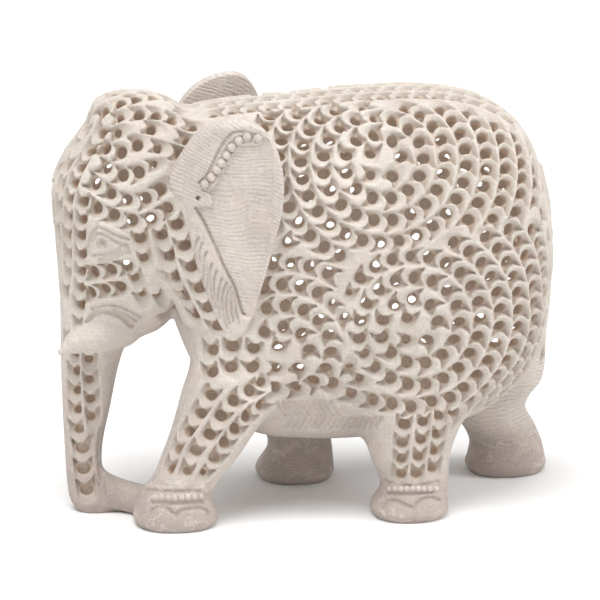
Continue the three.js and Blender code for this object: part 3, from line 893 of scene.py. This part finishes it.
# %% Cut the lines
# Each row has the groove's width and depth in mm, its twin on the far side, and photo points.
LINES = [
    (1.0, 0.85, HEAD_TWIN,
     [(86, 257), (88.5, 247), (91, 237), (96.5, 228), (105, 230), (117, 236), (129, 240)]),
    (1.0, 0.8, HEAD_TWIN,
     [(89, 255), (91.5, 245), (94, 239), (98.5, 233.5), (106, 236.5), (117, 243), (127, 246)]),
    (0.95, 0.7, HEAD_TWIN, [(96, 224), (104, 222.5), (113, 226), (124, 231), (131, 236)]),
    (0.95, 0.75, HEAD_TWIN, [(92, 256), (100, 255), (110, 253.5), (122, 248)]),
    (0.95, 0.85, HEAD_TWIN, iris),
    (1.5, 1.5, HEAD_TWIN, [(101.6, 243.5), (102.4, 243.5)]),
    (1.2, 0.95, HEAD_TWIN, [(92, 309), (104, 305.5), (118, 306.5), (130, 311), (140, 317.5)]),
    (1.1, 0.85, HEAD_TWIN, [(100, 310.5), (112, 309.5), (124, 313.5), (136, 321)]),
    (1.7, 1.3, HEAD_TWIN, [(86, 324), (91, 317), (98, 312.5), (110, 313.5), (122, 318), (132, 327)]),
    (1.1, 0.6, HEAD_TWIN, [(95, 430), (92, 448), (93, 464), (96, 476), (100, 485)]),
    (1.1, 0.6, HEAD_TWIN, [(101, 428), (99, 448), (99, 463), (100, 474)]),
    (1.2, 0.8, FORE_TWIN, [(146, 489), (160, 491), (180, 491.5), (200, 491)]),
    (1.2, 0.8, FORE_TWIN, [(151, 502.5), (175, 503.5), (203, 502)]),
    (1.2, 0.8, FORE_TWIN, [(151, 513), (154, 508.6), (163, 507), (168.6, 510), (176, 516.4)]),
    (1.2, 0.8, FORE_TWIN, [(176, 516.4), (181, 511), (193, 508.6), (204, 509), (210, 514)]),
    (1.2, 0.8, HIND_TWIN, [(385, 480), (397, 485), (410, 486), (422, 485), (438, 482)]),
    (1.2, 0.8, HIND_TWIN, [(387, 492.5), (405, 494), (432, 492)]),
    (1.2, 0.8, HIND_TWIN, [(382.5, 508), (386.7, 501.7), (395, 501), (405, 505), (414, 509)]),
    (1.2, 0.8, HIND_TWIN, [(414, 509), (418, 503), (428, 498), (440, 500)]),
]
for k in range(10):
    lash = [(99 + 3.2 * k, 260 - 1.1 * k), (100.5 + 3.2 * k, 265 - 1.3 * k)]
    LINES.append((0.9, 0.85, HEAD_TWIN, lash))
    LINES.append((1.2, 0.8, None, [(277 + 6 * k, 402), (285 + 6 * k, 415)]))
for k in range(15):
    LINES.append((1.2, 0.8, None, [(286 + 6.4 * k, 427.5), (292 + 6.4 * k, 418)]))
for width, depth, twin, points in LINES:
    groove(points, width, depth, twin)
fore_anklet = [(155 + 6.6 * k, 496.8 + 0.9 * math.sin(k * 0.5)) for k in range(8)]
hind_anklet = [(389 + 5.9 * k, 488.8) for k in range(9)]
bead_row(fore_anklet, 1.02, 0.62, FORE_TWIN)
bead_row(hind_anklet, 0.92, 0.58, HIND_TWIN)
print("lines cut:", len(LINES), "beads:", len(beads))

# %% [markdown]
# ## The hollow shell
# The carver hollows the figure through its holes to a wall of a few millimetres. The feet and
# the end of the trunk stay solid. A Solidify modifier would cross itself in the narrow parts. In
# a field it is one step: whatever lies deeper than the wall is air. Where the ears sit the block
# gets a pocket, so that the ears' finer plates show and not the block's own skin.

# %% Put the stone together
WALL = 4.5
SOLID_FEET, SOLID_TRUNK, TRUNK_BACK = 26, 60, -40
POCKET_DEPTH, POCKET_EDGE = 3.0, 1.2
x, _, z = mesh_of((slice(None),) * 3)
solid = np.maximum(SOLID_FEET - z, np.where(x < TRUNK_BACK, SOLID_TRUNK - z, -99))
stone = np.maximum(F + D, -np.maximum(F + WALL, solid))
stone = np.maximum(stone, -drill)
stone = blend(stone, extra, 2.2)
stone = np.maximum(stone, -z)
for side in (-1, 1):
    move = FAR_EAR_SHIFT if side > 0 else (0.0, 0.0)
    w = window([-50, min(12 * side, 39 * side), 55], [-4, max(12 * side, 39 * side), 132])
    x, y, z = mesh_of(w)
    edge = over_columns(polygon_distance, x - move[0], z - move[1], EAR_CURVE) + POCKET_EDGE
    pocket = np.maximum(edge, -POCKET_DEPTH - (np.abs(y) - ear_face(x - move[0])))
    stone[w] = np.maximum(stone[w], -pocket)
print("stone left:", float((stone < 0).sum() * H**3 / 1000), "cm3")

# %% [markdown]
# ## From fields to meshes
# The surface is where the field is zero. A Remesh modifier could find it from a mesh, but here
# openvdb reads it straight out of the numbers, as faces of four corners. That is far more than
# a mesh should have, so the hidden inside is thinned hard and the outside a little.

# %% Turn a field into a mesh
def surface_of(field, corner, step):
    """The field's zero surface as points in mm and as faces of four, or three, corners."""
    grid = openvdb.FloatGrid(background=2.0)
    grid.copyFromArray(np.clip(field, -2.0, 2.0).astype(np.float32), tolerance=0)
    points, triangles, quads = grid.convertToPolygons(isovalue=0.0, adaptivity=0.0)
    return points * step + corner, triangles[:, ::-1], quads[:, ::-1]


def object_of(name, verts, triangles, quads):
    """A mesh object from points in mm and faces."""
    mesh = bpy.data.meshes.new(name)
    mesh.vertices.add(len(verts))
    mesh.vertices.foreach_set("co", (verts * MM).astype(np.float32).ravel())
    corners = np.concatenate([triangles.ravel(), quads.ravel()])
    mesh.loops.add(len(corners))
    mesh.polygons.add(len(triangles) + len(quads))
    mesh.loops.foreach_set("vertex_index", corners.astype(np.int32))
    starts = np.concatenate([np.arange(len(triangles)) * 3,
                             len(triangles) * 3 + np.arange(len(quads)) * 4])
    mesh.polygons.foreach_set("loop_start", starts.astype(np.int32))
    mesh.update(calc_edges=True)
    mesh.validate()
    piece = bpy.data.objects.new(name, mesh)
    scene.collection.objects.link(piece)
    return piece


verts, triangles, quads = surface_of(stone, low, H)
print("points:", len(verts), "faces:", len(quads))


# %% Thin a mesh
def triangles_in(piece):
    """How many triangles a piece's faces make."""
    return sum(len(p.vertices) - 2 for p in piece.data.polygons)


def thin_to(piece, target, free):
    """Leaves about the target count of triangles. Only the points named as free may move."""
    piece.vertex_groups.new(name="free").add(np.flatnonzero(free).tolist(), 1.0, "REPLACE")
    step = piece.modifiers.new("thin", "DECIMATE")
    step.vertex_group = "free"
    step.ratio = min(1.0, target / triangles_in(piece))
    bpy.context.view_layer.objects.active = piece
    bpy.ops.object.modifier_apply(modifier="thin")
    piece.vertex_groups.clear()


def points_of(piece):
    """The points of a piece in mm."""
    co = np.empty(len(piece.data.vertices) * 3, np.float32)
    piece.data.vertices.foreach_get("co", co)
    return co.reshape(-1, 3) / MM


def at_grid(field, p):
    """The block's field at the grid point nearest to each of the points p."""
    i, j, k = np.clip(np.rint((p - low) / H).astype(int), 0, shape - 1).T
    return field[i, j, k]


def smooth(piece):
    """Smooth shading, but for edges sharper than 50 degrees."""
    piece.data.shade_smooth()
    piece.data.set_sharp_from_angle(angle=math.radians(50))


# %% What the finish reads
# The material needs to know how deep a place lies under the skin, which also sets the painted
# shade of the hollows, where the rasp left flat or leaning rows, how near a hole is, and how much
# painted shade the legs, feet and trunk get.
READINGS = ("deep", "rows_flat", "rows_lean", "worked", "stain")
MOST_PAINTED_SHADE = 0.75
pieces = []


def keep_piece(piece, **readings):
    """Keeps a piece, with a value at each point for every reading. One not given is zero."""
    for name in READINGS:
        values = np.zeros(len(piece.data.vertices)) + readings.get(name, 0)
        layer = piece.data.attributes.new(name, "FLOAT", "POINT")
        layer.data.foreach_set("value", values.astype(np.float32))
    pieces.append(piece)


def painted_shade_at(p):
    """How much painted shade points p get: a share for the feet, each pair of legs and the
    trunk, that fades out with height."""
    x, y, z = p.T

    def below(top, over):
        """One below a height, and falling to zero at the top."""
        return np.clip((top - z) / over, 0, 1)

    stain = 0.55 * (np.abs(x) < 16) * (y > 5) * below(40, 12) + 0.74 * below(16, 5)
    stain += 0.15 * (x > 40) * (y > 5) * below(40, 12)
    stain += 0.06 * (x < -52) * below(64, 6) + 0.3 * (y < 5) * below(44, 14) * (z > 14)
    return np.minimum(stain, MOST_PAINTED_SHADE)


print("stain at a foot and at the back:", painted_shade_at(np.array([[30, -20, 5], [0, -20, 120.0]])))

# %% [markdown]
# The stone is shown as four pieces, because a mesh stays under 200,000 triangles. Their seams
# run through holes and leaves. The points of a seam never move, and both sides get the normals
# that the undivided stone has there, so that no seam shows.

# %% The stone in four pieces
MOST_TRIANGLES, INSIDE_KEPT = 186000, 0.2
PIECE_NAMES = ("head_and_trunk", "shoulder_and_belly", "hindquarters", "far_side")
whole = object_of("whole", verts, triangles, quads)
normals = np.empty(len(verts) * 3, np.float32)
whole.data.vertex_normals.foreach_get("vector", normals)
normals = normals.reshape(-1, 3)
bpy.data.objects.remove(whole)
middle = verts[quads].mean(1)
part_of = np.where(middle[:, 0] < -32, 0, np.where(middle[:, 0] < 22, 1, 2))
part_of = np.where(middle[:, 1] > 4, 3, part_of)
used = np.zeros((4, len(verts)), bool)
for k in range(4):
    used[k, quads[part_of == k].ravel()] = True
shared = used.sum(0) > 1


def keys(p):
    """Points as whole numbers of a 200th of a millimetre, to find one again by its place."""
    return [tuple(v) for v in np.rint(p * 200).astype(int)]


for k, name in enumerate(PIECE_NAMES):
    number, mine = np.cumsum(used[k]) - 1, np.flatnonzero(used[k])
    piece = object_of(name, verts[mine], np.zeros((0, 3), int), number[quads[part_of == k]])
    seam, count = shared[mine], triangles_in(piece)
    hidden = at_grid(F, verts[mine]) < 0.6 - WALL
    thin_to(piece, count - (1 - INSIDE_KEPT) * hidden.mean() * count, hidden & ~seam)
    places = dict(zip(keys(verts[mine[seam]]), mine[seam]))
    match = np.array([places.get(key, -1) for key in keys(points_of(piece))])
    thin_to(piece, MOST_TRIANGLES, match < 0)
    left = points_of(piece)
    match = np.array([places.get(key, -1) for key in keys(left)])
    smooth(piece)
    given = np.where((match >= 0)[:, None], normals[match], 0)
    piece.data.normals_split_custom_set_from_vertices(given.tolist())
    # deep also sets how the hollows are painted: darker as painted shade, warm brown, and pale with a
    # faint glow deep inside in place of bounced light.
    deep = np.clip(np.where(at_grid(extra, left) < 0.6, 0, -at_grid(F, left)), 0, 8)
    inner = (left[:, 2] < 40) & (np.abs(left[:, 1]) < 20) & (left[:, 0] > -50)
    worked = np.clip(1.6 - at_grid(reach, left) / 2.5, 0, 1)
    keep_piece(piece, deep=deep, rows_flat=inner, worked=worked, stain=painted_shade_at(left))
    print(name, "from", count, "to", triangles_in(piece), "triangles, seam points:",
          int((match >= 0).sum()), "of", int(seam.sum()))

# %% The two ears
EAR_TRIANGLES = 100000
for (field, corner), name, move in zip(ears, ("near_ear", "far_ear"), ((0, 0), FAR_EAR_SHIFT)):
    ear = object_of(name, *surface_of(field, corner, FINE))
    count = triangles_in(ear)
    thin_to(ear, EAR_TRIANGLES, np.ones(len(ear.data.vertices), bool))
    smooth(ear)
    x, _, z = points_of(ear).T
    panel = polygon_distance(x - move[0], z - move[1], panel_line) < 0
    strip = polygon_distance(x - move[0], z - move[1], hair_strip) < 0
    keep_piece(ear, rows_flat=panel & ~strip, rows_lean=~panel & ~strip)
    print(name, "from", count, "to", triangles_in(ear))

# %% [markdown]
# The beads are small balls left standing on the ears' folds and the anklets. A ball that is
# repeated needs few faces, so one is worked out from rings of points between two poles, and
# copied to every bead's place with one array sum.

# %% The beads
AROUND, RINGS = 16, 9
turns = np.linspace(0, 2 * math.pi, AROUND + 1)[:-1]
heights = np.linspace(0, math.pi, RINGS + 2)[1:-1]
ball = np.array([[0, 0, 1.0]] + [
    [math.sin(r) * math.cos(t), math.sin(r) * math.sin(t), math.cos(r)]
    for r in heights for t in turns] + [[0, 0, -1.0]])
here = np.arange(AROUND)
there = (here + 1) % AROUND
ring_faces = np.concatenate([
    1 + AROUND * k + np.stack([here, AROUND + here, AROUND + there, there], -1)
    for k in range(RINGS - 1)])
last = 1 + AROUND * (RINGS - 1)
caps = np.concatenate([np.stack([0 * here, 1 + here, 1 + there], -1),
                       np.stack([0 * here + len(ball) - 1, last + there, last + here], -1)])
verts = np.concatenate([np.array(b[:3]) + ball * b[3] for b in beads])
shift = (np.arange(len(beads)) * len(ball))[:, None, None]
bead_piece = object_of("beads", verts, (caps + shift).reshape(-1, 3),
                       (ring_faces + shift).reshape(-1, 4))
bead_piece.data.shade_smooth()
# The beads are darkened a little with the same painted shade tone.
keep_piece(bead_piece, stain=0.1)
print("beads:", len(beads), "faces on each:", len(ring_faces) + len(caps))

for piece in pieces:
    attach(piece, "root")
    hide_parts("elephant")

# %% [markdown]
# ## The look of the stone
# Soapstone is soft and a little waxy, with clouds, flecks and thin pale veins. Its hollows are
# painted darker with depth as painted shade, then a warm brown that is partly dust and partly
# painted shade. A photo texture would need unwrapping hundreds of holes, so colour and bump come
# from noise in Object coordinates, in millimetres.

# %% Helpers for shader nodes
def feed(tree, socket, value):
    """Links a socket into another, or sets a plain value on it."""
    if isinstance(value, bpy.types.NodeSocket):
        tree.links.new(value, socket)
    else:
        socket.default_value = value


def node(tree, kind, settings=None, **inputs):
    """Adds a node, sets its options, and fills its inputs with values or with links. An input
    is named with its name, or with a line and its number."""
    n = tree.nodes.new(kind)
    for key, value in (settings or {}).items():
        setattr(n, key, value)
    for key, value in inputs.items():
        by_number = key[1:].isdigit()
        feed(tree, n.inputs[int(key[1:]) if by_number else key.replace("_", " ")], value)
    return n


def group_of(name, inputs, outputs):
    """A shader node group with named sockets, and the nodes at its two ends."""
    tree = bpy.data.node_groups.new(name, "ShaderNodeTree")
    kinds = {"v": "NodeSocketVector", "f": "NodeSocketFloat", "c": "NodeSocketColor"}
    for label, kind, value in inputs:
        socket = tree.interface.new_socket(label, in_out="INPUT", socket_type=kinds[kind])
        if value is not None:
            socket.default_value = value
    for label, kind in outputs:
        tree.interface.new_socket(label, in_out="OUTPUT", socket_type=kinds[kind])
    return tree, tree.nodes.new("NodeGroupInput"), tree.nodes.new("NodeGroupOutput")


def math_node(tree, operation, a, b=0.5):
    """One sum on two values."""
    return node(tree, "ShaderNodeMath", {"operation": operation}, _0=a, _1=b).outputs[0]


def noise(tree, vector, scale, detail=3.0, roughness=0.5, stretch=None):
    """Noise whose patches are about 1 / scale across, in the unit of its vector."""
    if stretch:
        vector = node(tree, "ShaderNodeVectorMath", {"operation": "MULTIPLY"},
                      _0=vector, _1=stretch).outputs[0]
    return node(tree, "ShaderNodeTexNoise", Vector=vector, Scale=scale, Detail=detail,
                Roughness=roughness).outputs["Fac"]


def span(tree, value, low, high, out_low=0.0, out_high=1.0):
    """Maps a value from one range to another, smoothly and clamped."""
    return node(tree, "ShaderNodeMapRange", {"interpolation_type": "SMOOTHSTEP"},
                _0=value, _1=low, _2=high, _3=out_low, _4=out_high).outputs[0]


def mix(tree, share, a, b):
    """Colour a, with a share of colour b."""
    n = node(tree, "ShaderNodeMix", {"data_type": "RGBA"}, Factor=share, _6=a, _7=b)
    return n.outputs[2]


print("node helpers ready")

# %% [markdown]
# The skin has two tones, a plain one and a fresher, paler one near the holes.
# Painted shade on the legs, feet and trunk, speckles, painted shade in the low places of the tool
# marks, blush, veins and flecks are mixed over them one by one. Below the skin the tone turns
# darker as painted shade, then to a warm brown that is partly dust and partly painted shade, and
# then to a pale inside that is painted in place of the light that bounces about in the shell.

# %% Colour of the stone
tree, enter, leave = group_of(
    "stone colour",
    [("Place", "v", None), ("Depth", "f", 0.0), ("Worked", "f", 0.0), ("Stain", "f", 0.0),
     ("Marks", "f", 0.5), ("Patch size", "f", 16.0)],
    [("Color", "c"), ("Flecks", "f")])
at, depth, tool = enter.outputs["Place"], enter.outputs["Depth"], enter.outputs["Marks"]
per_patch = math_node(tree, "DIVIDE", 1.0, enter.outputs["Patch size"])
cloud = noise(tree, at, per_patch, 5.0, 0.62)
blush = noise(tree, at, 0.11, 4.0, 0.6)
fleck = noise(tree, at, 1.7, 2.0, 0.7)
speckle = noise(tree, at, 2.6, 3.0, 0.75)
line = noise(tree, at, 0.035, 4.0, 0.62)
vein = math_node(tree, "ABSOLUTE", math_node(tree, "SUBTRACT", line, 0.5))
cloudy = span(tree, cloud, 0.36, 0.64)
plain_tone = mix(tree, cloudy, (0.535, 0.468, 0.424, 1), (0.68, 0.617, 0.563, 1))
fresh_tone = mix(tree, cloudy, (0.57, 0.51, 0.449, 1), (0.675, 0.622, 0.557, 1))
tone = mix(tree, enter.outputs["Worked"], plain_tone, fresh_tone)
for share, tint in [
        # Painted shade on the feet, the legs and the trunk end.
        (enter.outputs["Stain"], (0.30, 0.225, 0.20, 1)),
        (span(tree, speckle, 0.35, 0.65, 0.0, 0.30), (0.9, 0.86, 0.8, 1)),
        # Painted shade in the low places of the tool marks.
        (span(tree, tool, 0.69, 0.35, 0.0, 0.55), (0.40, 0.34, 0.30, 1)),
        (span(tree, blush, 0.5, 0.72, 0.0, 0.45), (0.66, 0.54, 0.48, 1)),
        (span(tree, vein, 0.0, 0.012, 0.35, 0.0), (0.74, 0.69, 0.63, 1)),
        (span(tree, fleck, 0.62, 0.74, 0.0, 0.5), (0.42, 0.35, 0.30, 1)),
        (span(tree, fleck, 0.38, 0.27, 0.0, 0.5), (0.80, 0.76, 0.70, 1)),
        # Painted shade: the hollows get darker with depth.
        (span(tree, depth, 0.3, 2.4), (0.56, 0.485, 0.415, 1))]:
    tone = mix(tree, share, tone, tint)
# A warm brown deeper in the hollows: partly dust, partly painted shade and warm bounced light.
dust_and_painted_shade = mix(tree, span(tree, blush, 0.4, 0.62), (0.66, 0.53, 0.43, 1), (0.58, 0.41, 0.30, 1))
tone = mix(tree, span(tree, depth, 2.0, 3.4), tone, dust_and_painted_shade)
# Painted light: the deepest inside is painted pale, in place of the light that bounces about in the
# hollow shell.
inside = mix(tree, span(tree, tool, 0.38, 0.78), (0.62, 0.54, 0.47, 1), (0.86, 0.79, 0.71, 1))
tone = mix(tree, span(tree, depth, 3.8, 4.6), tone, inside)
feed(tree, leave.inputs["Color"], tone)
feed(tree, leave.inputs["Flecks"], fleck)
stone_colour = tree
print("nodes for the colour:", len(tree.nodes))

# %% [markdown]
# The rasp leaves fine parallel rows, flat ones on the ear's panel and leaning ones on its rim,
# and everywhere short scratches and grain. They are too fine to be carved in the mesh, so they
# are heights for a Bump node. A row is the sine of the place, bent by slow noise.

# %% Chisel and rasp marks
tree, enter, leave = group_of(
    "tool marks",
    [("Place", "v", None), ("Flat rows", "f", 0.0), ("Leaning rows", "f", 0.0),
     ("Row width", "f", 1.3)],
    [("Height", "f")])
at = enter.outputs["Place"]
xyz = node(tree, "ShaderNodeSeparateXYZ", Vector=at).outputs
drift = noise(tree, at, 0.06, 2.0, 0.45)
broken = span(tree, noise(tree, at, 0.3, 4.0, 0.7), 0.36, 0.62)
turn_by = math_node(tree, "DIVIDE", 2 * math.pi, enter.outputs["Row width"])


def rows_along(axis_value, wander):
    """Rows across an axis: the sine of the place, bent by slow noise times the wander."""
    bent = math_node(tree, "ADD", axis_value, math_node(tree, "MULTIPLY", drift, wander))
    return math_node(tree, "SINE", math_node(tree, "MULTIPLY", bent, turn_by))


flat_rows = math_node(tree, "MULTIPLY", rows_along(xyz["Z"], 9.0), enter.outputs["Flat rows"])
slanted = math_node(tree, "ADD", xyz["Z"], math_node(tree, "MULTIPLY", xyz["X"], 0.45))
lean_rows = math_node(tree, "MULTIPLY", rows_along(slanted, 5.0), enter.outputs["Leaning rows"])
rows_all = math_node(tree, "MULTIPLY", math_node(tree, "ADD", flat_rows, lean_rows), broken)
upright = noise(tree, at, 1.0, 4.0, 0.6, stretch=(1.5, 0.6, 0.4))
level = noise(tree, at, 1.0, 4.0, 0.6, stretch=(0.35, 0.35, 1.7))
grain = noise(tree, at, 3.0, 5.0, 0.65)
height = math_node(tree, "MULTIPLY", rows_all, 0.13)
for part, weight in ((level, 0.34), (upright, 0.26), (grain, 0.46)):
    height = math_node(tree, "ADD", height, math_node(tree, "MULTIPLY", part, weight))
feed(tree, leave.inputs["Height"], height)
tool_marks = tree
print("nodes for the tool marks:", len(tree.nodes))

# %% [markdown]
# ## Material
# One Principled shader takes both groups. Light goes a little way into soapstone, so it has a
# trace of subsurface. Deep places get a faint warm glow in place of the light that bounces
# about inside a pale shell, which a short render wouldn't gather.

# %% Soapstone
material = bpy.data.materials.new("soapstone")
material.use_nodes = True
tree = material.node_tree
shader = tree.nodes["Principled BSDF"].inputs
coords = node(tree, "ShaderNodeTexCoord").outputs["Object"]
in_mm = node(tree, "ShaderNodeVectorMath", {"operation": "SCALE"}, _0=coords, Scale=1000.0).outputs[0]
reads = {name: node(tree, "ShaderNodeAttribute", {"attribute_name": name}).outputs["Fac"]
         for name in READINGS}
marks = node(tree, "ShaderNodeGroup", {"node_tree": tool_marks}, Place=in_mm,
             Flat_rows=reads["rows_flat"], Leaning_rows=reads["rows_lean"]).outputs["Height"]
colour = node(tree, "ShaderNodeGroup", {"node_tree": stone_colour}, Place=in_mm,
              Depth=reads["deep"], Worked=reads["worked"], Stain=reads["stain"],
              Marks=marks).outputs
bump = node(tree, "ShaderNodeBump", Strength=0.8, Distance=0.0009, Height=marks)
feed(tree, shader["Base Color"], colour["Color"])
feed(tree, shader["Normal"], bump.outputs["Normal"])
feed(tree, shader["Roughness"], span(tree, colour["Flecks"], 0.3, 0.7, 0.62, 0.8))
feed(tree, shader["Emission Strength"], span(tree, reads["deep"], 1.5, 4.2, 0.0, 0.055))
shader["Emission Color"].default_value = (1.0, 0.82, 0.66, 1)
shader["Specular IOR Level"].default_value = 0.35
shader["Subsurface Weight"].default_value = 0.1
shader["Subsurface Radius"].default_value = (1.0, 0.7, 0.5)
shader["Subsurface Scale"].default_value = 0.0012
for piece in pieces:
    piece.data.materials.append(material)
print("pieces of soapstone:", len(pieces))

# %% [markdown]
# ## Floor and light
# The photo was lit from above by a large soft light on a white ground. A lamp alone would leave
# hard shadows in the holes, so a white world fills them, and a wide disk overhead gives the form
# its shading. The floor is only part of the stage.

# %% Floor and light
bpy.ops.mesh.primitive_plane_add(size=6)
floor = bpy.context.object
floor.name = "floor"
pale = bpy.data.materials.new("pale_floor")
pale.use_nodes = True
pale_shader = pale.node_tree.nodes["Principled BSDF"].inputs
pale_shader["Base Color"].default_value = (0.84, 0.84, 0.835, 1)
pale_shader["Roughness"].default_value = 0.9
floor.data.materials.append(pale)

world = bpy.data.worlds.new("studio")
scene.world = world
world.use_nodes = True
world.node_tree.nodes["Background"].inputs["Color"].default_value = (1, 1, 1, 1)
world.node_tree.nodes["Background"].inputs["Strength"].default_value = 0.65
AIM = Vector((0, 0, 0.06))


def softbox(name, place, size, power):
    """A round soft light, turned to the middle of the figure."""
    light = bpy.data.lights.new(name, "AREA")
    light.shape = "DISK"
    light.size = size
    light.energy = power
    lamp = bpy.data.objects.new(name, light)
    scene.collection.objects.link(lamp)
    lamp.location = place
    lamp.rotation_euler = (AIM - Vector(place)).to_track_quat("-Z", "Y").to_euler()


softbox("key", (-0.7, -0.8, 3.25), 2.8, 110)
softbox("fill", (-1.6, -2.0, 0.9), 1.2, 1.5)
softbox("side", (2.6, -0.9, 1.9), 1.6, 46)
scene.view_settings.view_transform = "Standard"
scene.cycles.max_bounces = 12
scene.cycles.diffuse_bounces = 8
